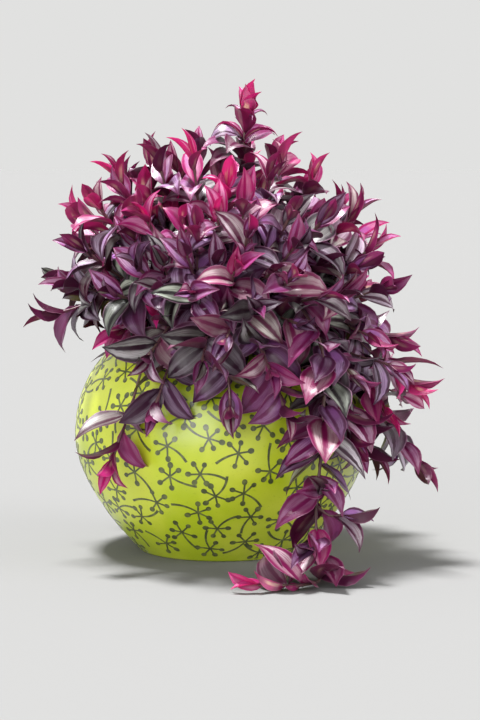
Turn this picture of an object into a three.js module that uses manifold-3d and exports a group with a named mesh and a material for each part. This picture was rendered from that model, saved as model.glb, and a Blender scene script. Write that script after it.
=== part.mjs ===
// A tradescantia (wandering dude) in a round glazed pot: the pot, its potting soil and one mesh for each
// leafy stem. Millimetres, +Z up; the origin is the centre of the pot's flat foot, and -Y is the front.
import * as THREE from "three";
import { mergeVertices } from "three/addons/utils/BufferGeometryUtils.js";
import Module from "manifold-3d";

const wasm = await Module();
wasm.setup();
const { Manifold, Mesh: SolidMesh } = wasm;

// The pot: a squat belly between a small foot and a narrower mouth.
const POT = {
  footRadius: 89,
  footChamfer: 2,
  bellyRadius: 160,
  bellyHeight: 125,
  rimRadius: 94,
  shoulderHeight: 239,
  height: 246,
  lipWidth: 8,
  wall: 8,
  floor: 9,
};
const ROUND_SIDES = 26;
const PROFILE_STEPS = 4;

// The soil fills the pot to just under the lip and stands a little higher in the middle.
const SOIL = { edgeHeight: 227, crownHeight: 234, seatGap: 0.4, holeGap: 0.5 };

// Stems and leaves. A blade is thickest at its midrib and runs out to a thin edge.
const STEM = { radius: 2.4, sides: 4, stepLength: 40, buried: 12 };
const BLADE = { thickness: 1.4, rootDepth: 1, stations: [[0.25, 0.93], [0.6, 0.92]] };
const CLEARANCE = 0.4;
const LEAF_TRIES = 24;
const LEAF_TURN = 150;
const LEAF_ROLL = 0.65;

// Each stem's growing tip [x, y, z, leaves]. The list runs round the front from the crown to the skirt,
// then round the back. A fifth number turns the tip to that angle above the horizon.
const FRONT_TIPS = [
  [27, -20, 474, 7, 84],
  [-29, -60, 422, 6],
  [-66, -36, 420, 5],
  [-108, -40, 404, 6],
  [-127, -82, 374, 6],
  [-148, -15, 358, 6],
  [-142, -78, 328, 6],
  [-76, -116, 362, 6],
  [-2, -124, 368, 6],
  [28, -138, 348, 6],
  [70, -116, 364, 6],
  [52, -68, 404, 5],
  [98, -28, 404, 5],
  [104, -96, 360, 5],
  [138, -36, 362, 6],
  [160, -48, 330, 6],
  [-34, -152, 328, 6],
  [-86, -134, 316, 6],
  [-30, -172, 290, 6],
  [-108, -122, 286, 5],
  [-174, -60, 262, 5, -15],
  [35, -173, 274, 6],
  [74, -152, 306, 6],
  [14, -158, 312, 5],
  [124, -106, 284, 6],
  [80, -152, 258, 5],
  [182, -52, 236, 6],
  [196, -78, 190, 6, -8],
  [170, -98, 166, 6, -12],
  [50, -182, 214, 6],
  [136, -144, 204, 6],
  [10, -194, 178, 6],
  [66, -190, 172, 5],
  [-74, -160, 226, 5],
  [-66, -178, 176, 6],
  [-18, -190, 222, 4],
  [-112, -156, 118, 6],
  [136, -136, 138, 6],
  [206, -86, 108, 6, 12],
];
const BACK_TIPS = [
  [-104, 40, 392, 5],
  [-24, 44, 428, 5],
  [58, 38, 420, 5],
  [128, 44, 366, 5],
  [-146, 62, 322, 4],
  [-66, 116, 368, 5],
  [14, 112, 384, 5],
  [88, 106, 358, 5],
  [134, 100, 302, 5],
  [-112, 136, 276, 5],
  [-26, 164, 304, 5],
  [54, 158, 296, 5],
  [120, 146, 222, 5],
  [-110, 164, 180, 5],
  [-36, 186, 214, 5],
  [40, 190, 196, 5],
  [168, 96, 196, 5],
];

// The longest stem hangs in front of the pot and runs on along the surface that the pot stands on.
const TRAILER = {
  points: [
    [38, -55, 217],
    [39, -56, 232],
    [66, -95, 284],
    [103, -145, 236],
    [104, -175, 150],
    [97, -194, 64],
    [102, -214, 12],
    [86, -248, 6],
    [38, -262, 8],
  ],
  leaves: 13,
  spacing: 22,
  across: [1, -1, 0.7],
};

const UP = new THREE.Vector3(0, 0, 1);
const radians = THREE.MathUtils.degToRad;

// A repeatable draw between -1 and 1 for the n-th thing and its k-th property.
function draw(n, k) {
  const wave = Math.sin(n * 12.9898 + k * 78.233 + 4.1) * 43758.5453;
  return 2 * (wave - Math.floor(wave)) - 1;
}

// A BufferGeometry as a closed solid, with its shared corners merged.
function solidFrom(geometry) {
  const bare = geometry.clone();
  bare.deleteAttribute("normal");
  bare.deleteAttribute("uv");
  const merged = mergeVertices(bare, 1e-3);
  return new Manifold(
    new SolidMesh({
      numProp: 3,
      vertProperties: new Float32Array(merged.attributes.position.array),
      triVerts: new Uint32Array(merged.index.array),
    }),
  );
}

function geometryFrom(solid) {
  const mesh = solid.getMesh();
  const geometry = new THREE.BufferGeometry();
  geometry.setAttribute("position", new THREE.BufferAttribute(new Float32Array(mesh.vertProperties), 3));
  geometry.setIndex(new THREE.BufferAttribute(new Uint32Array(mesh.triVerts), 1));
  geometry.computeVertexNormals();
  return geometry;
}

function lathe(profile) {
  const geometry = new THREE.LatheGeometry(profile, ROUND_SIDES);
  geometry.rotateX(Math.PI / 2);
  return solidFrom(geometry);
}

// Pot ------------------------------------------------------------------------------------------------

// The outside of the belly as points from foot to shoulder, each set in by the same amount.
function bellyProfile(inset, fromHeight) {
  const { footRadius, footChamfer, bellyRadius, bellyHeight, rimRadius, shoulderHeight } = POT;
  const lower = new THREE.CubicBezierCurve(
    new THREE.Vector2(footRadius + footChamfer, footChamfer),
    new THREE.Vector2(118, 28),
    new THREE.Vector2(bellyRadius, 82),
    new THREE.Vector2(bellyRadius, bellyHeight),
  );
  const upper = new THREE.CubicBezierCurve(
    new THREE.Vector2(bellyRadius, bellyHeight),
    new THREE.Vector2(bellyRadius, 178),
    new THREE.Vector2(136, 216),
    new THREE.Vector2(rimRadius, shoulderHeight),
  );
  const points = [...lower.getPoints(PROFILE_STEPS), ...upper.getPoints(PROFILE_STEPS).slice(1)];
  return points.filter((p) => p.y > fromHeight).map((p) => new THREE.Vector2(p.x - inset, p.y));
}

function makePot() {
  const { footRadius, height, rimRadius, lipWidth, wall, floor } = POT;
  const mouth = rimRadius - lipWidth;
  const inside = bellyProfile(wall, floor).reverse();
  const profile = [
    new THREE.Vector2(0, 0),
    new THREE.Vector2(footRadius, 0),
    ...bellyProfile(0, 0),
    new THREE.Vector2(rimRadius, height - 2),
    new THREE.Vector2(rimRadius - 2, height),
    new THREE.Vector2(mouth + 2, height),
    new THREE.Vector2(mouth, height - 2),
    ...inside,
    new THREE.Vector2(footRadius - 6, floor),
    new THREE.Vector2(0, floor),
  ];
  return lathe(profile);
}

function makeSoil() {
  const { edgeHeight, crownHeight, seatGap } = SOIL;
  const wall = bellyProfile(POT.wall + seatGap, POT.floor).filter((p) => p.y < edgeHeight);
  const side = wall.filter((_, i) => i % 2 === 0);
  const last = side[side.length - 1];
  const shoulder = bellyProfile(POT.wall + seatGap, edgeHeight)[0];
  const share = (edgeHeight - last.y) / (shoulder.y - last.y);
  const edge = new THREE.Vector2(last.x + share * (shoulder.x - last.x), edgeHeight);
  const base = POT.floor + seatGap;
  return lathe([
    new THREE.Vector2(0, base),
    new THREE.Vector2(POT.footRadius - 6 - seatGap, base),
    ...side,
    edge,
    new THREE.Vector2(0, crownHeight),
  ]);
}

// Height of the soil at a distance from the pot's axis.
function soilTop(radius) {
  const { edgeHeight, crownHeight } = SOIL;
  return crownHeight - ((crownHeight - edgeHeight) * radius) / 110;
}

// Stems ----------------------------------------------------------------------------------------------

// A stem rises from its place in the soil, low ones near the lip and high ones near the middle, and
// bends over to its tip. The higher the tip, the more it points up; under the lip it hangs.
function shootPath([x, y, z, , pitch]) {
  const outward = new THREE.Vector3(x, y, 0).normalize();
  const lowness = THREE.MathUtils.clamp((475 - z) / 340, 0, 1);
  const rootRadius = 5 + 60 * Math.sqrt(lowness);
  const root = outward.clone().multiplyScalar(rootRadius).setZ(soilTop(rootRadius));
  const tip = new THREE.Vector3(x, y, z);
  const above = z - 250;
  const angle = radians(pitch ?? (above > 0 ? Math.min(28, 0.5 * above) + 0.3 * above : 0.12 * above));
  const heading = outward.clone().multiplyScalar(Math.cos(angle)).addScaledVector(UP, Math.sin(angle));
  const span = root.distanceTo(tip);
  const overLip = Math.max(0, 285 - z);
  const lift = Math.min(112, 0.45 * span + 0.5 * overLip);
  const rise = root.clone().addScaledVector(UP, lift).addScaledVector(outward, 0.3 * overLip);
  const approach = tip.clone().addScaledVector(heading, -Math.min(90, 0.36 * span) * (z > 250 ? 1 : 0.5));
  const arch = new THREE.CubicBezierCurve3(root, rise, approach, tip);
  const foot = root.clone().addScaledVector(UP, -STEM.buried);
  const across = new THREE.Vector3(-outward.y, outward.x, 0);
  return { points: [foot, root, ...[0.18, 0.42, 0.7].map((t) => arch.getPoint(t)), tip], across };
}

function trailerPath() {
  const points = TRAILER.points.map((p) => new THREE.Vector3(...p));
  return { points, across: new THREE.Vector3(...TRAILER.across).normalize() };
}

function stemCurve({ points }) {
  return new THREE.CatmullRomCurve3(points, false, "catmullrom", 0.5);
}

function makeStem(curve, radius) {
  const section = new THREE.Shape();
  for (let i = 0; i < STEM.sides; i++) {
    const a = (2 * Math.PI * i) / STEM.sides;
    section[i ? "lineTo" : "moveTo"](radius * Math.cos(a), radius * Math.sin(a));
  }
  const steps = Math.max(5, Math.round(curve.getLength() / STEM.stepLength));
  const geometry = new THREE.ExtrudeGeometry(section, { steps, extrudePath: curve, curveSegments: 1 });
  return solidFrom(geometry);
}

// Leaves ---------------------------------------------------------------------------------------------

// The k-th try at a stem's i-th leaf, counted from the tip: where it starts, the two directions that its
// midrib takes and its size. Young leaves are short, upright and folded; old ones arch out and down.
function leafPlan(curve, across, stem, i, count, spacing, k) {
  const n = stem * 17 + i;
  const age = i / (count - 1);
  const length = curve.getLength();
  const down = spacing ? spacing * (i + 0.3 + 0.3 * draw(n, 8)) : 13.2 * (count - 1) * age ** 1.15;
  const at = 1 - (down + 0.5) / length;
  const base = curve.getPointAt(at);
  const along = curve.getTangentAt(at);
  const first = new THREE.Vector3().crossVectors(across, along).normalize();
  const second = new THREE.Vector3().crossVectors(along, first);
  const swing = (k % 2 ? 1 : -1) * Math.ceil(k / 2) * 13;
  const turn = radians(LEAF_TURN * i + 70 * draw(stem, 1) + 26 * draw(n, 2) + swing);
  const out = first.clone().multiplyScalar(Math.cos(turn)).addScaledVector(second, Math.sin(turn));
  const ease = 1 - 0.035 * k;
  const start = radians(4 + 50 * age ** 0.6 * ease + 5 * draw(n, 3));
  const end = radians((10 + 84 * age ** 0.55) * ease + 10 * draw(n, 4));
  const size = (37 + 24 * (1 - (1 - age) ** 2)) * (1 + 0.13 * draw(n, 5)) * (1 - 0.02 * k);
  const early = along.clone().multiplyScalar(Math.cos(start)).addScaledVector(out, Math.sin(start));
  const late = along.clone().multiplyScalar(Math.cos(end)).addScaledVector(out, Math.sin(end));
  late.addScaledVector(UP, -0.4 * age).normalize();
  const bend = base.clone().addScaledVector(early, size / 2);
  const tip = bend.clone().addScaledVector(late, size / 2);
  return {
    base,
    bend,
    tip,
    side: turnToLight(new THREE.Vector3().crossVectors(along, out), base, tip, age, draw(n, 7)),
    halfWidth: size * (0.3 - 0.06 * (1 - age) + 0.02 * draw(n, 6)),
    fold: radians(14 + 24 * (1 - age) ** 1.5),
  };
}

// A leaf rolls on its midrib until one of its faces looks more to the light, above and outside. The older
// it is, the further it has turned. side points across the blade.
function turnToLight(side, base, tip, age, unevenness) {
  const light = new THREE.Vector3(base.x, base.y, 0).normalize().multiplyScalar(0.7).addScaledVector(UP, 0.7);
  const turned = light.cross(tip.clone().sub(base).normalize());
  const share = LEAF_ROLL * (0.3 + 0.7 * age) * (1 + 0.4 * unevenness);
  const signed = turned.dot(side) < 0 ? -share : share;
  return side.clone().multiplyScalar(1 - share).addScaledVector(turned, signed).normalize();
}

// A folded blade: four corners at each station (left edge, upper midrib, right edge, lower midrib) between
// a root point inside the stem and the leaf's tip. With a swell it is that much larger all round, and
// starts clear of its own stem, to test the room around it.
function makeBlade(leaf, swell = 0) {
  const { base, bend, tip, side, halfWidth, fold } = leaf;
  const midrib = new THREE.QuadraticBezierCurve3(base, bend, tip);
  const inward = base.clone().sub(bend).normalize();
  const root = base.clone().addScaledVector(inward, BLADE.rootDepth);
  const corners = [swell ? midrib.getPoint(0.1) : root];
  const addStation = (s, half) => {
    const centre = midrib.getPoint(s);
    const along = midrib.getTangent(s);
    const across = side.clone().addScaledVector(along, -side.dot(along)).normalize();
    const up = new THREE.Vector3().crossVectors(along, across);
    const thick = BLADE.thickness / 2 + swell;
    const reach = half + swell;
    const raised = centre.clone().addScaledVector(up, reach * Math.sin(fold));
    corners.push(
      raised.clone().addScaledVector(across, -reach * Math.cos(fold)),
      centre.clone().addScaledVector(up, thick),
      raised.clone().addScaledVector(across, reach * Math.cos(fold)),
      centre.clone().addScaledVector(up, -thick),
    );
  };
  const stations = swell ? [[0.13, 0.5], ...BLADE.stations] : BLADE.stations;
  stations.forEach(([s, share]) => addStation(s, halfWidth * share));
  corners.push(tip.clone().addScaledVector(tip.clone().sub(bend).normalize(), swell));
  const faces = [];
  for (let i = 0; i < 4; i++) faces.push(0, 1 + i, 1 + ((i + 1) % 4));
  const rings = stations.length;
  for (let ring = 1; ring < rings; ring++) {
    const a = 4 * ring - 3;
    const b = a + 4;
    // Both faces of a half blade are split along the same diagonal, from the edge to the next midrib.
    faces.push(a, b, b + 1, a, b + 1, a + 1);
    faces.push(a + 1, b + 1, a + 2, a + 2, b + 1, b + 2);
    faces.push(a + 2, b + 2, b + 3, a + 2, b + 3, a + 3);
    faces.push(a + 3, b + 3, a, a, b + 3, b);
  }
  const last = 4 * rings - 3;
  const point = last + 4;
  for (let i = 0; i < 4; i++) faces.push(last + i, point, last + ((i + 1) % 4));
  const geometry = new THREE.BufferGeometry().setFromPoints(corners);
  geometry.setIndex(faces);
  return solidFrom(geometry);
}

function boxesMeet(a, b) {
  return [0, 1, 2].every((i) => a.min[i] < b.max[i] && b.min[i] < a.max[i]);
}

// Whether a solid stays off the surface and off everything that already has its place.
function isClear(solid, placed, owner) {
  const box = solid.boundingBox();
  if (box.min[2] < CLEARANCE) return false;
  return placed.every(
    (other) =>
      (other.owner === owner && other.isStem) ||
      !boxesMeet(box, other.box) ||
      solid.intersect(other.solid).isEmpty(),
  );
}

// The plant -------------------------------------------------------------------------------------------

function growPlant(pot, soil) {
  const shoots = [...FRONT_TIPS, ...BACK_TIPS].map((row, index) => {
    const path = shootPath(row);
    return { index, path, curve: stemCurve(path), leaves: row[3], spacing: 0 };
  });
  const path = trailerPath();
  shoots.push({
    index: shoots.length,
    path,
    curve: stemCurve(path),
    leaves: TRAILER.leaves,
    spacing: TRAILER.spacing,
  });
  const placed = [pot, soil].map((solid) => ({ solid, box: solid.boundingBox(), owner: -1 }));
  for (const shoot of shoots) {
    shoot.stem = makeStem(shoot.curve, STEM.radius);
    shoot.blades = [];
    placed.push({ solid: shoot.stem, box: shoot.stem.boundingBox(), owner: shoot.index, isStem: true });
  }
  // Leaves are placed from the tips down, one round over all stems at a time, so that each stem keeps
  // its crown. A leaf that no try keeps clear of its neighbours is left out.
  const rounds = Math.max(...shoots.map((shoot) => shoot.leaves));
  let dropped = 0;
  for (let i = 0; i < rounds; i++) {
    for (const shoot of shoots.filter((s) => i < s.leaves)) {
      let k = 0;
      for (; k < LEAF_TRIES; k++) {
        const { curve, leaves, spacing, index } = shoot;
        const leaf = leafPlan(curve, shoot.path.across, index, i, leaves, spacing, k);
        if (!isClear(makeBlade(leaf, CLEARANCE), placed, index)) continue;
        const blade = makeBlade(leaf);
        shoot.blades.push(blade);
        placed.push({ solid: blade, box: blade.boundingBox(), owner: index });
        break;
      }
      if (k === LEAF_TRIES) dropped++;
    }
  }
  if (dropped) console.log("leaves left out for want of room: " + dropped);
  return shoots;
}

// Materials and nodes -----------------------------------------------------------------------------------

const glaze = new THREE.MeshStandardMaterial({ color: 0xc3d32b, roughness: 0.25, metalness: 0 });
const earth = new THREE.MeshStandardMaterial({ color: 0x3a2a20, roughness: 0.95, metalness: 0 });
const foliage = new THREE.MeshStandardMaterial({ color: 0x6b2447, roughness: 0.5, metalness: 0 });

function addNode(group, name, solid, material) {
  const mesh = new THREE.Mesh(geometryFrom(solid), material);
  mesh.name = name;
  group.add(mesh);
}

const plant = new THREE.Group();
const pot = makePot();
const soil = makeSoil();
const shoots = growPlant(pot, soil);

// Each stem stands in a plain hole in the soil, a little wider and deeper than itself.
const holes = shoots.map(({ curve }) =>
  makeStem(curve, STEM.radius + 1.5 * SOIL.holeGap).translate([0, 0, -SOIL.holeGap]),
);

addNode(plant, "pot", pot, glaze);
addNode(plant, "soil", holes.reduce((rest, hole) => rest.subtract(hole), soil), earth);
for (const { index, stem, blades } of shoots) {
  const whole = blades.reduce((sum, blade) => sum.add(blade), stem);
  addNode(plant, "stem_" + String(index + 1).padStart(2, "0"), whole, foliage);
}

export default plant;
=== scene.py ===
# A tradescantia in a round glazed pot, dressed around its solid model: the glazed pot with its painted
# sprigs, the potting soil, and every leafy stem with fine blades, side shoots and the older leaves inside.
# Plant sizes are in millimetres, as in the solid model; meshes are in metres.
import math
import random

import bpy
import numpy as np
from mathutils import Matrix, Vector, kdtree, noise


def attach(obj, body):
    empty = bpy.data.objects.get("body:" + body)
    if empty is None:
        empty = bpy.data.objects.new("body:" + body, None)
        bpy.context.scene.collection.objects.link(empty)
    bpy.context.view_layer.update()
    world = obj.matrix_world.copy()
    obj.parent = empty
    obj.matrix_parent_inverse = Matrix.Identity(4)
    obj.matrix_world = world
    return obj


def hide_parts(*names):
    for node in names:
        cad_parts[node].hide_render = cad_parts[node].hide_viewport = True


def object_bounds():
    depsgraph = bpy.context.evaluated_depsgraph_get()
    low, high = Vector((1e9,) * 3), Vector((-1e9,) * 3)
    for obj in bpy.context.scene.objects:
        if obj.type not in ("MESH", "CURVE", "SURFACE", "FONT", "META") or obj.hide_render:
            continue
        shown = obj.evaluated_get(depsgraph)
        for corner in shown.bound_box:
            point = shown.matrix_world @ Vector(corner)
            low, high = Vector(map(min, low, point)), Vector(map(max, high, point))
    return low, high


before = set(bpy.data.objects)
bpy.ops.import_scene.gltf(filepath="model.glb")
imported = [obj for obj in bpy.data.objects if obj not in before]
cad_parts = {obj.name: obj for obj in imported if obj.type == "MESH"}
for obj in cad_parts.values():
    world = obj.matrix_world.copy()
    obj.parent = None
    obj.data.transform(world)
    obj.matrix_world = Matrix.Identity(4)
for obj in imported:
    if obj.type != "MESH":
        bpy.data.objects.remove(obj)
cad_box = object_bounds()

MM = 0.001
UP = np.array([0.0, 0.0, 1.0])

# The pot and its soil, the same sizes as the solids.
FOOT_RADIUS = 89
FOOT_CHAMFER = 2
BELLY_RADIUS = 160
BELLY_HEIGHT = 125
RIM_RADIUS = 94
SHOULDER_HEIGHT = 239
POT_HEIGHT = 246
LIP_WIDTH = 8
WALL = 8
FLOOR = 9
SOIL_EDGE = 227
SOIL_CROWN = 234
POT_SIDES = 112

# Each stem's growing tip [x, y, z, leaves], from the crown to the skirt in front and then round the back. A
# fifth number turns the tip to that angle above the horizon.
TIPS = [
    [27, -20, 474, 7, 84], [-29, -60, 422, 6], [-66, -36, 420, 5], [-108, -40, 404, 6],
    [-127, -82, 374, 6], [-148, -15, 358, 6], [-142, -78, 328, 6], [-76, -116, 362, 6],
    [-2, -124, 368, 6], [28, -138, 348, 6], [70, -116, 364, 6], [52, -68, 404, 5], [98, -28, 404, 5],
    [104, -96, 360, 5], [138, -36, 362, 6], [160, -48, 330, 6], [-34, -152, 328, 6], [-86, -134, 316, 6],
    [-30, -172, 290, 6], [-108, -122, 286, 5], [-174, -60, 262, 5, -15], [35, -173, 274, 6],
    [74, -152, 306, 6], [14, -158, 312, 5], [124, -106, 284, 6], [80, -152, 258, 5], [182, -52, 236, 6],
    [196, -78, 190, 6, -8], [170, -98, 166, 6, -12], [50, -182, 214, 6], [136, -144, 204, 6],
    [10, -194, 178, 6], [66, -190, 172, 5], [-74, -160, 226, 5], [-66, -178, 176, 6], [-18, -190, 222, 4],
    [-112, -156, 118, 6], [136, -136, 138, 6], [206, -86, 108, 6, 12], [-104, 40, 392, 5],
    [-24, 44, 428, 5], [58, 38, 420, 5], [128, 44, 366, 5], [-146, 62, 322, 4], [-66, 116, 368, 5],
    [14, 112, 384, 5], [88, 106, 358, 5], [134, 100, 302, 5], [-112, 136, 276, 5], [-26, 164, 304, 5],
    [54, 158, 296, 5], [120, 146, 222, 5], [-110, 164, 180, 5], [-36, 186, 214, 5], [40, 190, 196, 5],
    [168, 96, 196, 5],
]
TRAILER_POINTS = [
    [38, -55, 217], [39, -56, 232], [66, -95, 284], [103, -145, 236], [104, -175, 150], [97, -194, 64],
    [102, -214, 12], [86, -248, 6], [38, -262, 8],
]
TRAILER_LEAVES = 13
TRAILER_SPACING = 22
TRAILER_ACROSS = [1, -1, 0.7]
TRAILER_BRANCHES = [(0.62, -0.5), (0.68, 0.9), (0.74, -0.9)]
STEM_BURIED = 12
# Tips above this height point up and those under it hang.
RISE_FROM = 250
LEAF_TRIES = 24
LEAF_TURN = 150
LEAF_ROLL = 0.65

# What is grown here on top of the solids' leaves.
STEM_RADIUS = 1.8
SIDE_SHOOT_RADIUS = 0.75 * STEM_RADIUS
KNUCKLE = 0.8
# Rounds of side shoots, and for each shoot the tries for a place, the share of its stem where it may leave, its
# lengths, the least gap to the other tips, its leaves and the turns that each leaf may take.
SIDE_SHOOTS = 2
SIDE_SHOOT_TRIES = 14
SIDE_SHOOT_PLACES = (0.42, 0.86)
SIDE_SHOOT_LENGTHS = (46, 88)
SIDE_SHOOT_GAP = 16
SIDE_LEAVES = 5
SIDE_LEAF_SWINGS = (0, -35, 35, 75, -75, 120)
# The folded young leaf in the heart of every shoot.
HEART_DOWN = 4
HEART_AGE = 0.08
HEART_SIZES = (38, 46)
# The old leaves down the main stems, from below the solids' leaves to above the soil.
OLD_LEAF_AGES = (0.7, 1)
OLD_LEAF_SIZES = (48, 62)
OLD_LEAF_GAPS = (12, 19)
OLD_LEAVES_FROM = 30
OLD_LEAVES_STOP = 40
# The glaze stays in sight under these heights: no side shoots, and no old leaves. From SKIRT_LEFT on to the
# right the leaves form a skirt over the pot.
BARE_OF_SHOOTS = 240
BARE_OF_OLD_LEAVES = 200
SKIRT_LEFT = 130
CROWN_HEIGHT = 310
BUD_FOLD = 50
# The leaves of the tallest shoot's bud: down the stem, turn round it, angles at base and tip, length, half
# width over length, and age.
BUD_LEAVES = (
    (7, 20, 42, -36, 50, 0.35, 0.02),
    (7, 140, 42, -36, 49, 0.35, 0.05),
    (7, 260, 44, -34, 48, 0.35, 0.08),
    (14, 80, 26, 78, 46, 0.09, 0.5),
    (14, 170, 24, 74, 48, 0.09, 0.5),
    (16, 320, 28, 80, 44, 0.09, 0.5),
    (30, 20, 34, 84, 50, 0.12, 0.5),
    (30, 190, 32, 86, 50, 0.12, 0.5),
)
BLADE_THICK = 0.8
BLADE_COLUMNS = 4
BLADE_ROWS = 8
LYING_HEIGHT = 0.6
MOUND_CENTRE = np.array([0.0, -10.0, 262.0])
MOST_PROBES = 40000
CLEARANCE = 3
GROWTH = random.Random(11)


# Small tools ---------------------------------------------------------------------------------------------


def linear(hex_colour):
    """A colour written as sRGB hex, as the linear RGBA that a shader takes."""
    parts = [int(hex_colour[i:i + 2], 16) / 255 for i in (1, 3, 5)]
    return [c / 12.92 if c <= 0.04045 else ((c + 0.055) / 1.055) ** 2.4 for c in parts] + [1.0]


def unit(v):
    return v / np.linalg.norm(v)


def smooth_step(low, high, value):
    t = np.clip((value - low) / (high - low), 0, 1)
    return t * t * (3 - 2 * t)


def deselect():
    if bpy.context.object and bpy.context.object.mode != "OBJECT":
        bpy.ops.object.mode_set(mode="OBJECT")
    bpy.ops.object.select_all(action="DESELECT")


def make_active(piece):
    deselect()
    piece.select_set(True)
    bpy.context.view_layer.objects.active = piece


def add_node(tree, kind, inputs=None, **settings):
    """Adds one shader node. inputs maps a socket's name or number to a value, a node or a (node, output)."""
    node = tree.nodes.new("ShaderNode" + kind)
    for name, value in settings.items():
        setattr(node, name, value)
    for key, value in (inputs or {}).items():
        if isinstance(value, tuple) and isinstance(value[0], bpy.types.Node):
            tree.links.new(value[0].outputs[value[1]], node.inputs[key])
        elif isinstance(value, bpy.types.Node):
            tree.links.new(value.outputs[0], node.inputs[key])
        else:
            node.inputs[key].default_value = value
    return node


def new_material(name):
    material = bpy.data.materials.new(name)
    material.use_nodes = True
    material.node_tree.nodes.clear()
    return material, material.node_tree


# Growth, by the same rule as the solids --------------------------------------------------------------------


def draw(n, k):
    """A repeatable draw between -1 and 1 for the n-th thing and its k-th property."""
    wave = math.sin(n * 12.9898 + k * 78.233 + 4.1) * 43758.5453
    return 2 * (wave - math.floor(wave)) - 1


class Line:
    """A smooth line through points, with places on it given as shares of its length."""

    def __init__(self, points):
        self.points = np.array(points, float)
        self.times = np.linspace(0, 1, 201)
        steps = np.diff([self.at(t) for t in self.times], axis=0)
        self.lengths = np.concatenate([[0], np.cumsum(np.linalg.norm(steps, axis=1))])
        self.length = self.lengths[-1]

    def at(self, t):
        last = len(self.points) - 1
        i = min(int(last * t), last - 1)
        s = last * t - i
        one, two = self.points[i], self.points[i + 1]
        before = self.points[i - 1] if i else 2 * one - two
        after = self.points[i + 2] if i + 2 <= last else 2 * two - one
        leave, arrive = 0.5 * (two - before), 0.5 * (after - one)
        curve = (2 * one - 2 * two + leave + arrive) * s + (3 * two - 3 * one - 2 * leave - arrive)
        return one + leave * s + curve * s * s

    def point(self, share):
        return self.at(np.interp(share * self.length, self.lengths, self.times))

    def heading(self, share):
        t = np.interp(share * self.length, self.lengths, self.times)
        return unit(self.at(min(t + 1e-4, 1)) - self.at(max(t - 1e-4, 0)))


def axes_at(line, across, at):
    """A place on a line, the way the line runs there, and two directions square to it."""
    along = line.heading(at)
    first = unit(np.cross(across, along))
    return line.point(at), along, first, np.cross(along, first)


def around(first, second, angle):
    return first * math.cos(angle) + second * math.sin(angle)


def soil_top(radius):
    return SOIL_CROWN - (SOIL_CROWN - SOIL_EDGE) * radius / 110


def cubic(a, b, c, d, t):
    return (1 - t) ** 3 * a + 3 * (1 - t) ** 2 * t * b + 3 * (1 - t) * t * t * c + t ** 3 * d


def tip_pitch(height):
    """How far above the horizon a tip points, in degrees: the higher, the more; under the lip it hangs."""
    above = height - RISE_FROM
    if above > 0:
        return min(28, 0.5 * above) + 0.3 * above
    return 0.12 * above


def stem_line(row):
    """A stem's line from its foot in the soil to its tip, and a direction across it."""
    tip = np.array(row[:3], float)
    outward = unit(np.array([row[0], row[1], 0.0]))
    lowness = min(max((475 - tip[2]) / 340, 0), 1)
    root_radius = 5 + 60 * math.sqrt(lowness)
    root = outward * root_radius + UP * soil_top(root_radius)
    pitch = math.radians(row[4] if len(row) > 4 else tip_pitch(tip[2]))
    heading = around(outward, UP, pitch)
    span = np.linalg.norm(tip - root)
    over_lip = max(0, 285 - tip[2])
    lift = min(112, 0.45 * span + 0.5 * over_lip)
    rise = root + UP * lift + outward * 0.3 * over_lip
    approach = tip - heading * min(90, 0.36 * span) * (1 if tip[2] > RISE_FROM else 0.5)
    arch = [cubic(root, rise, approach, tip, t) for t in (0.18, 0.42, 0.7)]
    across = np.array([-outward[1], outward[0], 0.0])
    return Line([root - UP * STEM_BURIED, root, *arch, tip]), across


def turn_to_light(side, base, tip, age, unevenness):
    """A leaf rolls on its midrib until one of its faces looks more to the light, above and outside."""
    light = 0.7 * unit(np.array([base[0], base[1], 0.0])) + 0.7 * UP
    turned = np.cross(light, unit(tip - base))
    share = LEAF_ROLL * (0.3 + 0.7 * age) * (1 + 0.4 * unevenness)
    signed = -share if turned @ side < 0 else share
    return unit(side * (1 - share) + turned * signed)


class Leaf:
    """A blade's midrib bends once between base and tip. side points across it, and fold raises its edges."""

    def __init__(self, base, along, out, start, end, size, half_share, fold, age, unevenness):
        early = around(along, out, start)
        late = unit(around(along, out, end) - 0.4 * age * UP)
        self.base = base
        self.bend = base + early * size / 2
        self.tip = self.bend + late * size / 2
        self.side = turn_to_light(np.cross(along, out), base, self.tip, age, unevenness)
        self.half = size * half_share
        self.size = size
        self.fold = fold
        self.age = age
        self.over = 1.0

    def midrib(self, s):
        return (1 - s) ** 2 * self.base + 2 * (1 - s) * s * self.bend + s * s * self.tip

    def probes(self):
        """A few points of the blade, to see how much room it has."""
        points = [self.midrib(s) for s in (0.3, 0.5, 0.75, 1.0)]
        for s in (0.3, 0.6):
            points += [self.midrib(s) + self.side * self.half * 0.8 * way for way in (-1, 1)]
        return np.array(points)


def leaf_at(line, across, stem, i, count, spacing, k):
    """The k-th try at a stem's i-th leaf from the tip, as the solids have it."""
    n = stem * 17 + i
    age = i / (count - 1)
    down = spacing * (i + 0.3 + 0.3 * draw(n, 8)) if spacing else 13.2 * (count - 1) * age ** 1.15
    base, along, first, second = axes_at(line, across, 1 - (down + 0.5) / line.length)
    swing = (1 if k % 2 else -1) * math.ceil(k / 2) * 13
    turn = math.radians(LEAF_TURN * i + 70 * draw(stem, 1) + 26 * draw(n, 2) + swing)
    ease = 1 - 0.035 * k
    return Leaf(
        base=base,
        along=along,
        out=around(first, second, turn),
        start=math.radians(4 + 50 * age ** 0.6 * ease + 5 * draw(n, 3)),
        end=math.radians((10 + 84 * age ** 0.55) * ease + 10 * draw(n, 4)),
        size=(37 + 24 * (1 - (1 - age) ** 2)) * (1 + 0.13 * draw(n, 5)) * (1 - 0.02 * k),
        half_share=0.3 - 0.06 * (1 - age) + 0.02 * draw(n, 6),
        fold=math.radians(14 + 24 * (1 - age) ** 1.5),
        age=age,
        unevenness=draw(n, 7),
    ), down


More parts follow.
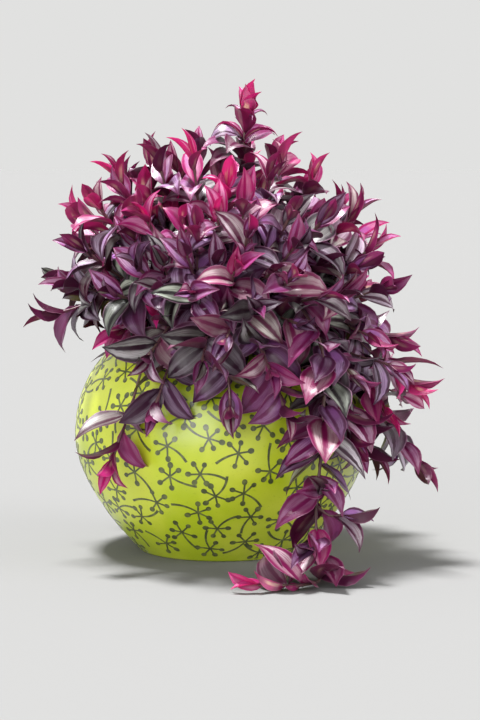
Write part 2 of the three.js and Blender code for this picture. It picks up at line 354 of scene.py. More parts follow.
def face_light(leaf, share):
    """An open leaf whose upper side would look down turns over, as leaves on hanging stems do."""
    light = 0.7 * unit(np.array([leaf.base[0], leaf.base[1], 0.0])) + 0.7 * UP
    upper = np.cross(leaf.tip - leaf.base, leaf.side)
    if leaf.age > 0.3 and upper @ light < 0 and share < 0.8:
        leaf.over = -1.0


class Shoot:
    """A stem, or a side shoot on it: its line, its radius at the foot and its leaves."""

    def __init__(self, line, across, radius):
        self.line = line
        self.across = across
        self.radius = radius
        self.leaves = []
        self.knots = []

    def tip(self):
        return self.line.points[-1]


def read_built_leaves(shoot, stem, count, spacing):
    """Of each leaf's tries, the one whose tip is a corner of the solid is the one that was built."""
    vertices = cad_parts["stem_%02d" % (stem + 1)].data.vertices
    corners = kdtree.KDTree(len(vertices))
    for i, vertex in enumerate(vertices):
        corners.insert(vertex.co, i)
    corners.balance()
    for i in range(count):
        for k in range(LEAF_TRIES):
            leaf, down = leaf_at(shoot.line, shoot.across, stem, i, count, spacing, k)
            if corners.find(Vector(leaf.tip * MM))[2] < 0.3 * MM:
                shoot.leaves.append(leaf)
                shoot.knots.append(shoot.line.length - down)
                break


# Growth that only shows here ------------------------------------------------------------------------------


def pot_radius(z):
    """The pot's outer radius at a height, from the same two arcs as its profile."""
    return np.interp(z, *POT_RADII)


def outer_profile(steps):
    """The pot's outside as [radius, height] from the foot's chamfer to the shoulder."""
    foot = (FOOT_RADIUS + FOOT_CHAMFER, FOOT_CHAMFER)
    belly = (BELLY_RADIUS, BELLY_HEIGHT)
    lower = [foot, (118, 28), (BELLY_RADIUS, 82), belly]
    upper = [belly, (BELLY_RADIUS, 178), (136, 216), (RIM_RADIUS, SHOULDER_HEIGHT)]
    points = []
    for arc in (lower, upper):
        corners = [np.array(p, float) for p in arc]
        points += [cubic(*corners, t) for t in np.linspace(0, 1, steps + 1)[1 if points else 0:]]
    return np.array(points)


POT_RADII = outer_profile(40)[:, ::-1].T


class Room:
    """The space that is taken, as points on the blades grown so far."""

    def __init__(self):
        self.points = np.zeros((MOST_PROBES, 3), np.float32)
        self.count = 0
        self.low = np.array(cad_box[0]) / MM + [CLEARANCE, CLEARANCE, 2]
        self.high = np.array(cad_box[1]) / MM - CLEARANCE

    def add(self, leaf):
        probes = leaf.probes()
        self.points[self.count:self.count + len(probes)] = probes
        self.count += len(probes)

    def is_open(self, probes):
        """Whether points lie inside the object's box and outside the pot, its soil and the surface."""
        radius = np.hypot(probes[:, 0], probes[:, 1])
        z = probes[:, 2]
        in_mouth = (radius < RIM_RADIUS - LIP_WIDTH - CLEARANCE) & (z > soil_top(radius) + CLEARANCE)
        off_pot = (z > POT_HEIGHT + 2) | (radius > pot_radius(z) + CLEARANCE)
        return bool(np.all((off_pot | in_mouth) & (probes > self.low).all(1) & (probes < self.high).all(1)))

    def distance(self, probes):
        """The least distance from points to the blades grown so far."""
        taken = self.points[:self.count]
        squares = (probes ** 2).sum(1)[:, None] + (taken ** 2).sum(1)[None] - 2 * probes @ taken.T
        return math.sqrt(max(squares.min(), 0))


def grow_free_leaf(room, shoot, down, age, size, turns, least):
    """Adds a leaf at a distance down a shoot, in the freest of a few directions.

    It is left out where every direction brings it nearer to other blades than least.
    """
    at = 1 - (down + 0.5) / shoot.line.length
    if at < 0.04:
        return
    base, along, first, second = axes_at(shoot.line, shoot.across, at)
    best, widest = None, least
    for turn in turns:
        leaf = Leaf(
            base=base,
            along=along,
            out=around(first, second, turn),
            start=math.radians(4 + 50 * age ** 0.6 + GROWTH.uniform(-6, 6)),
            end=math.radians(10 + 84 * age ** 0.55 + GROWTH.uniform(-12, 12)),
            size=size * GROWTH.uniform(0.88, 1.1),
            half_share=0.31 - 0.06 * (1 - age) + GROWTH.uniform(-0.03, 0.03),
            fold=math.radians(12 + 26 * (1 - age) ** 1.5),
            age=age,
            unevenness=GROWTH.uniform(-1, 1),
        )
        probes = leaf.probes()
        if not room.is_open(probes):
            continue
        distance = room.distance(probes)
        if distance > widest:
            best, widest = leaf, distance
    if best:
        room.add(best)
        shoot.leaves.append(best)
        shoot.knots.append(shoot.line.length - down)


def spread(count):
    """Directions evenly round a full turn, from a random one on."""
    start = GROWTH.uniform(0, 2 * math.pi)
    return [start + 2 * math.pi * i / count for i in range(count)]


def reach_limit(direction, ways, reaches):
    """How far the mound reaches in a direction, going by the three stem tips nearest to it."""
    nearest = np.argsort(-(ways @ direction))[:3]
    return reaches[nearest].mean()


def grow_branch(parent, at, sideways):
    """A short side shoot that leaves a hanging stem to the front and turns up to the light."""
    start = parent.line.point(at)
    outward = unit(np.array([start[0], start[1], 0.0]))
    way = unit(outward + sideways * np.array([-outward[1], outward[0], 0.0]))
    end = start + way * 30 - UP * 8
    line = Line([start, start + way * 14 - UP * 9, end])
    return Shoot(line, unit(np.cross(way, UP)), SIDE_SHOOT_RADIUS)


def grow_side_shoot(parent, tips, ways, reaches):
    """A side shoot that ends where the mound's surface has the widest gap, out of a few tries."""
    best, widest = None, SIDE_SHOOT_GAP
    for _ in range(SIDE_SHOOT_TRIES):
        start, along, first, second = axes_at(parent.line, parent.across, GROWTH.uniform(*SIDE_SHOOT_PLACES))
        if start[2] < POT_HEIGHT + 4 and np.hypot(start[0], start[1]) < RIM_RADIUS:
            continue
        out = around(first, second, GROWTH.uniform(0, 2 * math.pi))
        length = GROWTH.uniform(*SIDE_SHOOT_LENGTHS)
        early = unit(along + out * GROWTH.uniform(0.7, 1.3))
        outward = unit(start - MOUND_CENTRE)
        rising = 0.9 * smooth_step(250, 320, start[2])
        late = unit(early + outward * 0.7 + UP * (rising + GROWTH.uniform(-0.2, 0.4)))
        bend = start + early * length * 0.45
        end = bend + late * length * 0.55
        reach = end - MOUND_CENTRE
        if np.linalg.norm(reach) > 1.03 * reach_limit(unit(reach), ways, reaches):
            continue
        if np.hypot(end[0], end[1]) < pot_radius(end[2]) + 14 and end[2] < POT_HEIGHT + 10:
            continue
        gap = np.linalg.norm(np.array(tips) - end, axis=1).min()
        if gap > widest:
            middle = 0.25 * start + 0.5 * bend + 0.25 * end
            best, widest = Shoot(Line([start, middle, end]), out, SIDE_SHOOT_RADIUS), gap
    return best


def grow_closed_bud(shoot):
    """Young leaves folded round each other at a shoot's end, and narrow ones that bend out below them."""
    line = shoot.line
    first = unit(np.cross(shoot.across, line.heading(1.0)))
    for down, turn, start, end, size, half_share, age in BUD_LEAVES:
        at = 1 - down / line.length
        along = line.heading(at)
        shoot.leaves.append(Leaf(
            base=line.point(at),
            along=along,
            out=around(first, np.cross(along, first), math.radians(turn)),
            start=math.radians(start),
            end=math.radians(end),
            size=size,
            half_share=half_share,
            fold=math.radians(BUD_FOLD),
            age=age,
            unevenness=0,
        ))


def hangs_in_front(tip, height):
    """Whether a tip hangs in front of the pot, under a height and left of the skirt, over bare glaze."""
    x, y, z = tip
    return z < height and x < SKIRT_LEFT and y < 0


def grow_plant():
    """All the stems, each a list of shoots: the main one first and then its side shoots."""
    room = Room()
    stems = []
    for stem, row in enumerate(TIPS):
        line, across = stem_line(row)
        stems.append([Shoot(line, across, STEM_RADIUS)])
        read_built_leaves(stems[-1][0], stem, row[3], 0)
    stems.append([Shoot(Line(TRAILER_POINTS), unit(np.array(TRAILER_ACROSS, float)), STEM_RADIUS)])
    read_built_leaves(stems[-1][0], len(TIPS), TRAILER_LEAVES, TRAILER_SPACING)
    for shoots in stems:
        for leaf in shoots[0].leaves:
            room.add(leaf)
    tips = [shoots[0].tip() for shoots in stems]
    # The tall middle shoot stands clear of the mound, so it doesn't count for the mound's reach.
    ways = np.array([unit(tip - MOUND_CENTRE) for tip in tips[1:]])
    reaches = np.array([np.linalg.norm(tip - MOUND_CENTRE) for tip in tips[1:]])
    # The first round is for all stems but those over the bare glaze, the second for the crown's alone.
    for n in range(SIDE_SHOOTS):
        for shoots in stems:
            tip = shoots[0].tip()
            if hangs_in_front(tip, BARE_OF_SHOOTS) or (n and tip[2] < CROWN_HEIGHT):
                continue
            shoot = grow_side_shoot(shoots[0], tips, ways, reaches)
            if shoot:
                shoots.append(shoot)
                tips.append(shoot.tip())
    stems[-1] += [grow_branch(stems[-1][0], at, sideways) for at, sideways in TRAILER_BRANCHES]
    # Each side shoot's leaves and each shoot's heart first, then the old leaves down the main stems.
    for shoots in stems:
        for n, shoot in enumerate(shoots):
            for i in range(SIDE_LEAVES if n else 0):
                age = i / (SIDE_LEAVES - 1)
                down = 12.5 * i ** 1.1
                turns = [math.radians(LEAF_TURN * i + swing) for swing in SIDE_LEAF_SWINGS]
                grow_free_leaf(room, shoot, down, age, 41 + 17 * age ** 0.7, turns, 1.5 if i < 2 else 3.5)
            size = GROWTH.uniform(*HEART_SIZES)
            grow_free_leaf(room, shoot, HEART_DOWN, HEART_AGE, size, spread(8), 1.0 + 6 * HEART_AGE)
    for shoots in stems:
        main = shoots[0]
        # The long trailing stem, the last one, keeps its old leaves.
        if hangs_in_front(main.tip(), BARE_OF_OLD_LEAVES) and shoots is not stems[-1]:
            continue
        down = OLD_LEAVES_FROM
        while down < main.line.length - OLD_LEAVES_STOP:
            age, size = GROWTH.uniform(*OLD_LEAF_AGES), GROWTH.uniform(*OLD_LEAF_SIZES)
            grow_free_leaf(room, main, down, age, size, spread(7), 5.0)
            down += GROWTH.uniform(*OLD_LEAF_GAPS)
    grow_closed_bud(stems[0][0])
    return stems


# Meshes ----------------------------------------------------------------------------------------------------


def blade_template():
    """One flat blade as a thin lens: u across from -1 to 1, v along from 0 to 1, and z on each side of it."""
    deselect()
    bpy.ops.mesh.primitive_grid_add(x_subdivisions=BLADE_COLUMNS, y_subdivisions=BLADE_ROWS, size=2)
    blade = bpy.context.object
    blade.name = "blade_pattern"
    bpy.ops.object.mode_set(mode="EDIT")
    bpy.ops.mesh.duplicate()
    bpy.ops.mesh.flip_normals()
    bpy.ops.transform.translate(value=(0, 0, -1))
    bpy.ops.object.mode_set(mode="OBJECT")
    mesh = blade.data
    for vertex in mesh.vertices:
        u, v, z = vertex.co
        edge = abs(u) > 0.999 or abs(v) > 0.999
        vertex.co = (u, (v + 1) / 2, 0 if edge else z + 0.5)
    bpy.ops.object.mode_set(mode="EDIT")
    bpy.ops.mesh.select_all(action="SELECT")
    bpy.ops.mesh.remove_doubles(threshold=1e-4)
    bpy.ops.object.mode_set(mode="OBJECT")
    corners = np.array([v.co[:] for v in mesh.vertices])
    faces = [tuple(p.vertices) for p in mesh.polygons]
    under = [corners[list(f), 2].mean() < 0 for f in faces]
    bpy.data.objects.remove(blade)
    return corners, faces, under


def blade_width(v):
    """Half the blade's width along it, as a share of the widest place: a broad oval with a drawn-out tip."""
    oval = np.sin(np.pi * np.clip(v, 0, 1) ** 0.8) ** 0.75
    return np.maximum(oval * (1 - 0.3 * smooth_step(0.75, 0.95, v)), 0.02 + 0.12 * (v < 0.01))


def bend_blade(corners, leaf, noise_seed):
    """The flat blade bent along a leaf's midrib, cupped, and waved and twisted a little."""
    u, v, z = corners.T
    s = v[:, None]
    z = z * leaf.over
    u = u * leaf.over
    centre = (1 - s) ** 2 * leaf.base + 2 * (1 - s) * s * leaf.bend + s * s * leaf.tip
    along = 2 * (1 - s) * (leaf.bend - leaf.base) + 2 * s * (leaf.tip - leaf.bend)
    along /= np.linalg.norm(along, axis=1)[:, None]
    across = leaf.side - along * (along @ leaf.side)[:, None]
    across /= np.linalg.norm(across, axis=1)[:, None]
    up = np.cross(along, across)
    # From the midrib out the blade turns up more and more, by the fold on the whole.
    reach = leaf.half * blade_width(v)
    fold = leaf.fold + 0.9 * (1 - v) ** 8
    near, far = 0.4 * fold, fold * (0.4 + 1.2 * np.abs(u))
    sideways = reach * np.sign(u) * (np.sin(far) - np.sin(near)) / (1.2 * fold)
    rise = reach * (np.cos(near) - np.cos(far)) / (1.2 * fold)
    waves = 0.09 * np.sin(np.pi * np.abs(u)) + 0.08 * np.sin(v * 9 + noise_seed) * u * np.abs(u)
    rise = rise + reach * waves
    twist = 0.35 * math.sin(5 * noise_seed) * v * v
    cosine, sine = np.cos(twist), np.sin(twist)
    sideways, rise = sideways * cosine - rise * sine, rise * cosine + sideways * sine
    # A young blade closes towards its tip, an old one hangs, and the last stretch of either bends back.
    bow = 0.04 * (1 - leaf.age) ** 2 - 0.18 * leaf.age * leaf.over
    curl = leaf.size * (bow * v ** 3 - 0.1 * leaf.over * v ** 7)
    thick = BLADE_THICK * (1 - 0.6 * np.abs(u)) * (1 - 0.5 * v) * z
    bent = centre + across * sideways[:, None] + up * (leaf.over * rise + curl + thick)[:, None]
    # A blade that reaches the surface lies on it.
    bent[:, 2] = np.maximum(bent[:, 2], LYING_HEIGHT + thick * leaf.over)
    return bent


def add_tube(parts, shoot, sides, spacing):
    """A stem with a knuckle at each leaf, closed at both ends, with a ring of corners every spacing."""
    line = shoot.line
    knots = np.array(shoot.knots or [0.0])
    rings = max(6, int(line.length / spacing))
    corners, uvs = [], []
    side = shoot.across
    for i in range(rings + 1):
        at = i / rings
        centre, along = line.point(at), line.heading(at)
        side = unit(side - along * (side @ along))
        other = np.cross(along, side)
        swelling = KNUCKLE * np.exp(-((at * line.length - knots) / 2.2) ** 2).max()
        radius = shoot.radius * (1 - 0.35 * at) + swelling * (0.4 if i == rings else 1)
        for j in range(sides):
            angle = 2 * math.pi * j / sides
            corners.append(centre + (side * math.cos(angle) + other * math.sin(angle)) * radius)
            uvs.append((j / sides, at * line.length / 100))
    faces = []
    for i in range(rings):
        for j in range(sides):
            a, b = i * sides + j, i * sides + (j + 1) % sides
            faces.append((a, b, b + sides, a + sides))
    faces.append(tuple(range(sides))[::-1])
    faces.append(tuple(range(rings * sides, (rings + 1) * sides)))
    tone = (0.2, 0.3, GROWTH.random())
    parts.add(corners, faces, uvs, [2] * len(faces), tone)


class Parts:
    """Corners, faces, UVs, materials and tones gathered for one mesh."""

    def __init__(self):
        self.corners, self.faces, self.uvs, self.slots, self.tones = [], [], [], [], []
        self.count = 0

    def add(self, corners, faces, uvs, slots, tone):
        self.corners.append(np.array(corners, float))
        self.faces += [tuple(i + self.count for i in face) for face in faces]
        self.uvs += list(uvs)
        self.slots += list(slots)
        self.tones += [(*tone, 1.0)] * len(corners)
        self.count += len(corners)

    def build(self, name, materials):
        mesh = bpy.data.meshes.new(name)
        mesh.from_pydata((np.concatenate(self.corners) * MM).tolist(), [], self.faces)
        uv_layer = mesh.uv_layers.new(name="blade")
        loops = np.zeros(len(mesh.loops), np.int32)
        mesh.loops.foreach_get("vertex_index", loops)
        uv_layer.data.foreach_set("uv", np.array(self.uvs, np.float32)[loops].ravel())
        tone = mesh.attributes.new("tone", "FLOAT_COLOR", "POINT")
        tone.data.foreach_set("color", np.array(self.tones, np.float32).ravel())
        for material in materials:
            mesh.materials.append(material)
        mesh.polygons.foreach_set("material_index", np.array(self.slots, np.int32))
        piece = bpy.data.objects.new(name, mesh)
        bpy.context.scene.collection.objects.link(piece)
        make_active(piece)
        bpy.ops.object.shade_smooth_by_angle(angle=math.radians(55))
        return piece


def leaf_tone(leaf, glow):
    """How pink, how silvery and how purple a leaf is: young leaves are pinker, and the leaves of lit shoots get
    more pink as painted light.
    """
    x, _, z = leaf.tip
    pink = (1 - leaf.age) ** 1.1 * glow + GROWTH.uniform(-0.3, 0.25)
    silver = GROWTH.uniform(0.7, 1.0) if GROWTH.random() < 0.5 else GROWTH.uniform(0.15, 0.5)
    # high is painted light: towards the crown and out at the right, where the lights fall most, the bands are
    # painted brighter and the leaves more lavender.
    high = max(smooth_step(230, 350, z), smooth_step(110, 180, x))
    silver = silver * (0.6 + 0.4 * high)
    purple = GROWTH.uniform(-0.3, 1.1) + 0.2 * high
    return min(max(pink, 0), 1), silver, min(max(purple, 0), 1)


def painted_shoot_glow(shoot):
    """How much of the light reaches a shoot, which its leaves get as painted light in a pinker colour: most at
    the crown and out at the right.
    """
    x, _, z = shoot.tip()
    lit = 0.2 + 0.8 * smooth_step(290, 410, z) + 0.8 * smooth_step(110, 190, x)
    if GROWTH.random() < 0.2:
        lit = 1.0
    return min(lit, 1.0) * GROWTH.uniform(0.3, 1.1)


def make_stem_piece(index, shoots, template, materials):
    corners, faces, under = template
    uvs = np.stack([(corners[:, 0] + 1) / 2, corners[:, 1]], axis=1)
    slots = [1 if is_under else 0 for is_under in under]
    parts = Parts()
    for shoot in shoots:
        main = shoot is shoots[0]
        add_tube(parts, shoot, sides=8 if main else 6, spacing=5)
        # glow is painted light: the pinker colour of the leaves of lit shoots.
        glow = painted_shoot_glow(shoot)
        for leaf in shoot.leaves:
            face_light(leaf, GROWTH.random())
            bent = bend_blade(corners, leaf, GROWTH.uniform(0, 6))
            parts.add(bent, faces, uvs, slots, leaf_tone(leaf, glow))
    piece = parts.build("leafy_stem_%02d" % (index + 1), materials)
    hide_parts("stem_%02d" % (index + 1))
    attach(piece, "root")


def spin_rings(name, profile, sides):
    """A turned piece: a disc's edge, extruded and sized step by step along a profile, closed at both ends."""
    deselect()
    radius, height = profile[0]
    bpy.ops.mesh.primitive_circle_add(
        vertices=sides, radius=radius * MM, fill_type="NGON", location=(0, 0, height * MM)
    )
    piece = bpy.context.object
    piece.name = piece.data.name = name
    bpy.ops.object.transform_apply(location=True, rotation=True, scale=True)
    bpy.ops.object.mode_set(mode="EDIT")
    bpy.ops.mesh.select_all(action="SELECT")
    for next_radius, next_height in profile[1:]:
        climb = (0, 0, (next_height - height) * MM)
        bpy.ops.mesh.extrude_region_move(TRANSFORM_OT_translate={"value": climb})
        ratio = next_radius / radius
        bpy.ops.transform.resize(value=(ratio, ratio, 1), center_override=(0, 0, 0))
        radius, height = next_radius, next_height
    bpy.ops.mesh.select_all(action="SELECT")
    bpy.ops.mesh.normals_make_consistent(inside=False)
    bpy.ops.object.mode_set(mode="OBJECT")
    return piece


def pot_profile():
    """From the middle of the foot out, up the belly, over the round lip and down the inside to the floor."""
    outside = outer_profile(16)
    inside = [(r - WALL, z) for r, z in outside[::-1] if z > FLOOR]
    half = LIP_WIDTH / 2
    lip = RIM_RADIUS - half
    turn = [math.radians(a) for a in range(0, 181, 20)]
    edge = [(lip + half * math.cos(a), POT_HEIGHT - half + half * math.sin(a)) for a in turn]
    foot = [(20, 0), (60, 0), (FOOT_RADIUS - 1, 0), (FOOT_RADIUS + 0.8, 0.6)]
    return foot + [tuple(p) for p in outside] + edge + inside + [(FOOT_RADIUS - 6, FLOOR), (20, FLOOR)]


def make_pot(material):
    pot = spin_rings("glazed_pot", pot_profile(), POT_SIDES)
    pot.data.materials.append(material)
    make_active(pot)
    bpy.ops.object.shade_smooth_by_angle(angle=math.radians(50))
    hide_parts("pot")
    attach(pot, "root")


# The painted sprigs: a stalk and five short rays, each with a dot at its end.
SPRIG_RAYS = 5
RAY_LENGTH = 11
RAY_WIDTH = 1.9
DOT_RADIUS = 2.9
STALK_LENGTH = 29
STALK_WIDTH = 2.3
SPRIG_SPACING = 27
SPRIG_TRIES = 400
SPRIG_RELIEF = 0.22
SPRIG_DEPTH = 0.4
# Crossing strokes of a sprig lie this much above each other, so that their faces don't fight.
STROKE_STEP = 0.012
SPRIGS = random.Random(5)


def strip(start, angle, length, bend, width_from, width_to, steps):
    """A flat stroke that starts at a place, runs at an angle and turns evenly by bend on its way."""
    points, place = [], np.array(start, float)
    for i in range(steps + 1):
        t = i / steps
        way = angle + bend * t
        half = (width_from + (width_to - width_from) * t) / 2
        normal = np.array([-math.sin(way), math.cos(way)]) * half
        points.append((place + normal, place - normal))
        place = place + np.array([math.cos(way), math.sin(way)]) * length / steps
    outline = [p for p, _ in points] + [q for _, q in points[::-1]]
    n = len(outline)
    faces = [(i, n - 1 - i, n - 2 - i, i + 1) for i in range(steps)]
    return np.array(outline), faces


def dot(centre, angle, radius):
    """A flat oval dot of twelve corners, a little longer than wide."""
    turn = np.linspace(0, 2 * math.pi, 12, endpoint=False)
    oval = np.stack([1.14 * radius * np.cos(turn), radius * np.sin(turn)], axis=1)
    spin = np.array([[math.cos(angle), -math.sin(angle)], [math.sin(angle), math.cos(angle)]])
    faces = [(0, i, i + 1, i + 2) for i in range(1, 11, 2)]
    return oval @ spin.T + centre, faces


def sprig_strokes(turn):
    """One sprig as flat strokes round its centre, no two alike."""
    length = STALK_LENGTH * SPRIGS.uniform(0.85, 1.1)
    bend = SPRIGS.choice((-1, 1)) * SPRIGS.uniform(0.5, 0.9)
    strokes = [strip((0, 0), turn, length, bend, STALK_WIDTH * 0.7, STALK_WIDTH * 1.25, 7)]
    for i in range(SPRIG_RAYS):
        angle = turn + math.radians(62 + 59 * i + SPRIGS.uniform(-9, 9))
        length = RAY_LENGTH * SPRIGS.uniform(0.82, 1.15)
        strokes.append(strip((0, 0), angle, length, SPRIGS.uniform(-0.15, 0.15), RAY_WIDTH, RAY_WIDTH, 3))
        end = np.array([math.cos(angle), math.sin(angle)]) * (length + DOT_RADIUS * 0.6)
        strokes.append(dot(end, angle, DOT_RADIUS * SPRIGS.uniform(0.88, 1.12)))
    return strokes


class PotSkin:
    """Places on the pot's outside, by the way up its profile and the way round."""

    def __init__(self):
        self.profile = outer_profile(60)
        steps = np.linalg.norm(np.diff(self.profile, axis=0), axis=1)
        self.climbs = np.concatenate([[0], np.cumsum(steps)])
        self.height = self.climbs[-1]

    def place(self, climb, angle, lift):
        radius = np.interp(climb, self.climbs, self.profile[:, 0])
        z = np.interp(climb, self.climbs, self.profile[:, 1])
        slope_r = np.interp(climb + 1, self.climbs, self.profile[:, 0]) - radius
        slope_z = np.interp(climb + 1, self.climbs, self.profile[:, 1]) - z
        length = np.hypot(slope_r, slope_z) + 1e-9
        radius = radius + lift * slope_z / length
        z = z - lift * slope_r / length
        return np.stack([radius * np.cos(angle), radius * np.sin(angle), z], axis=-1)


def sprig_places(skin):
    """Centres spread evenly over the pot: the way up its profile, the way round, and the place."""
    centres = []
    for _ in range(SPRIG_TRIES):
        best, widest = None, SPRIG_SPACING
        for _ in range(20):
            climb = SPRIGS.uniform(10, skin.height - 12)
            if SPRIGS.random() > np.interp(climb, skin.climbs, skin.profile[:, 0]) / BELLY_RADIUS:
                continue
            angle = SPRIGS.uniform(0, 2 * math.pi)
            place = skin.place(climb, angle, 0)
            gap = min((np.linalg.norm(place - other[2]) for other in centres), default=99)
            if gap > widest:
                best, widest = (climb, angle, place), gap
        if best:
            centres.append(best)
    return centres


def make_sprigs(material):
    """The sprigs as thin strokes on the glaze, each with its stalk turned to the freest side."""
    skin = PotSkin()
    parts = Parts()
    taken = []
    centres = sprig_places(skin)
    for climb, angle, place in centres:
        radius = np.interp(climb, skin.climbs, skin.profile[:, 0])
        others = [c[2] for c in centres if c[2] is not place] + taken
        best, widest = 0, -1
        for way in spread(12):
            up, round_pot = math.sin(way), math.cos(way) / radius
            reach = [0.6 * STALK_LENGTH, STALK_LENGTH]
            ends = [skin.place(climb + r * up, angle + r * round_pot, 0) for r in reach]
            gap = min(np.linalg.norm(end - other) for end in ends for other in others)
            inside = 6 < climb + STALK_LENGTH * up < skin.height - 4
            if inside and gap > widest:
                best, widest, stalk = way, gap, ends
        taken += stalk
        for n, (outline, faces) in enumerate(sprig_strokes(best)):
            climbs = np.clip(climb + outline[:, 1], 1, skin.height - 1)
            angles = angle + outline[:, 0] / np.interp(climbs, skin.climbs, skin.profile[:, 0])
            top = skin.place(climbs, angles, SPRIG_RELIEF + STROKE_STEP * (n % 5))
            bottom = skin.place(climbs, angles, -SPRIG_DEPTH)
            count = len(outline)
            shell = [tuple(f) for f in faces] + [tuple(i + count for i in f[::-1]) for f in faces]
            shell += [(i, i + count, (i + 1) % count + count, (i + 1) % count) for i in range(count)]
            uvs = [(0, 0)] * 2 * count
            parts.add(np.concatenate([top, bottom]), shell, uvs, [0] * len(shell), (0, 0, 0))
    piece = parts.build("painted_sprigs", [material])
    make_active(piece)
    bpy.ops.object.mode_set(mode="EDIT")
    bpy.ops.mesh.select_all(action="SELECT")
    bpy.ops.mesh.normals_make_consistent(inside=False)
    bpy.ops.object.mode_set(mode="OBJECT")
    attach(piece, "root")


def make_soil(material):
    """The filling inside the pot, a hair clear of its wall, with a crumbly top."""
    inner = [(r - WALL - 0.5, z) for r, z in outer_profile(10) if FLOOR + 1 < z < SOIL_EDGE]
    edge = np.interp(SOIL_EDGE, *POT_RADII) - WALL - 1
    top = [(r, soil_top(r)) for r in np.arange(edge, 3, -3.4)]
    soil = spin_rings("potting_soil", [(20, FLOOR + 0.5), (FOOT_RADIUS - 8, FLOOR + 0.5)] + inner + top, 84)
    for vertex in soil.data.vertices:
        x, y, z = np.array(vertex.co) / MM
        if z > SOIL_EDGE - 1:
            lumps = noise.noise(Vector((x, y, 0)) / 9) * 2.2 + noise.noise(Vector((x, y, 7)) / 3.5) * 1.3
            vertex.co.z += max(lumps - 0.4, -1.5) * MM
    soil.data.materials.append(material)
    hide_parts("soil")
    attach(soil, "root")


# Materials -------------------------------------------------------------------------------------------------


# The millimetres that one unit of the UV map stands for, across and along.
BLADE_SPAN = (30, 55)
STEM_SPAN = (11, 100)


def per_metre(size):
    """The scale of a noise whose patches are about so many millimetres across."""
    return 1 / (size * MM)


def blade_coordinates(tree):
    """The UV map, across from 0 at the midrib to 1 at the edge, along, and the tone, which on leaves holds
    painted light as well as their own colour.
    """
    uv = add_node(tree, "UVMap", uv_map="blade")
    split = add_node(tree, "SeparateXYZ", {0: uv})
    centred = add_node(tree, "Math", {0: (split, 0), 1: 0.5}, operation="SUBTRACT")
    size = add_node(tree, "Math", {0: centred}, operation="ABSOLUTE")
    across = add_node(tree, "Math", {0: size, 1: 2.0}, operation="MULTIPLY")
    tone = add_node(tree, "Attribute", attribute_name="tone", attribute_type="GEOMETRY")
    tones = add_node(tree, "SeparateColor", {0: tone})
    return uv, across, (split, 1), tones


def streaks(tree, uv, tones, span, width, length, detail=3.0):
    """Streaks of a width and a length in millimetres along a blade or a stem, different on each."""
    scaled = add_node(tree, "Mapping", {0: uv, 3: (span[0] / width, span[1] / length, 1.0)})
    shift = add_node(tree, "Math", {0: (tones, 2), 1: 40.0}, operation="MULTIPLY")
    moved = add_node(tree, "CombineXYZ", {2: shift})
    place = add_node(tree, "VectorMath", {0: scaled, 1: moved}, operation="ADD")
    return add_node(tree, "TexNoise", {"Vector": place, "Scale": 1.0, "Detail": detail})


def ramp(tree, source, stops):
    """A value that eases from stop to stop, each a place on the source's range and the value there."""
    node = add_node(tree, "ValToRGB", {0: source})
    node.color_ramp.interpolation = "EASE"
    while len(node.color_ramp.elements) < len(stops):
        node.color_ramp.elements.new(0.5)
    for element, (place, value) in zip(node.color_ramp.elements, stops):
        element.position = place
        element.color = (value, value, value, 1.0)
    return node


def blend(tree, factor, one, two):
    """Two colours mixed by a factor; each is an output of a node or a hex colour."""
    one, two = [linear(colour) if isinstance(colour, str) else colour for colour in (one, two)]
    node = add_node(tree, "Mix", {0: factor, 6: one, 7: two}, data_type="RGBA", clamp_factor=True)
    return node, 2


def times(tree, one, two):
    return add_node(tree, "Math", {0: one, 1: two}, operation="MULTIPLY", use_clamp=True)


def leaf_surface(tree, tones, colour, through, share, roughness, height):
    """A waxy leaf skin that lets tinted light through from behind, the more the younger and pinker it is."""
    bump = add_node(tree, "Bump", {"Height": height, "Distance": 0.0004, "Strength": 0.5})
    skin = add_node(tree, "BsdfPrincipled", {
        "Base Color": colour, "Roughness": roughness, "IOR": 1.5, "Normal": bump,
        "Specular IOR Level": 0.4, "Coat Weight": 0.12, "Coat Roughness": 0.2,
        "Sheen Weight": 0.08, "Sheen Roughness": 0.3, "Sheen Tint": linear("#f0dcf4"),
    })
    glow = add_node(tree, "BsdfTranslucent", {"Color": through})
    passed = add_node(tree, "Math", {0: (tones, 0), 1: 0.2, 2: share}, operation="MULTIPLY_ADD")
    mixed = add_node(tree, "MixShader", {0: passed, 1: skin, 2: glow})
    add_node(tree, "OutputMaterial", {0: mixed})


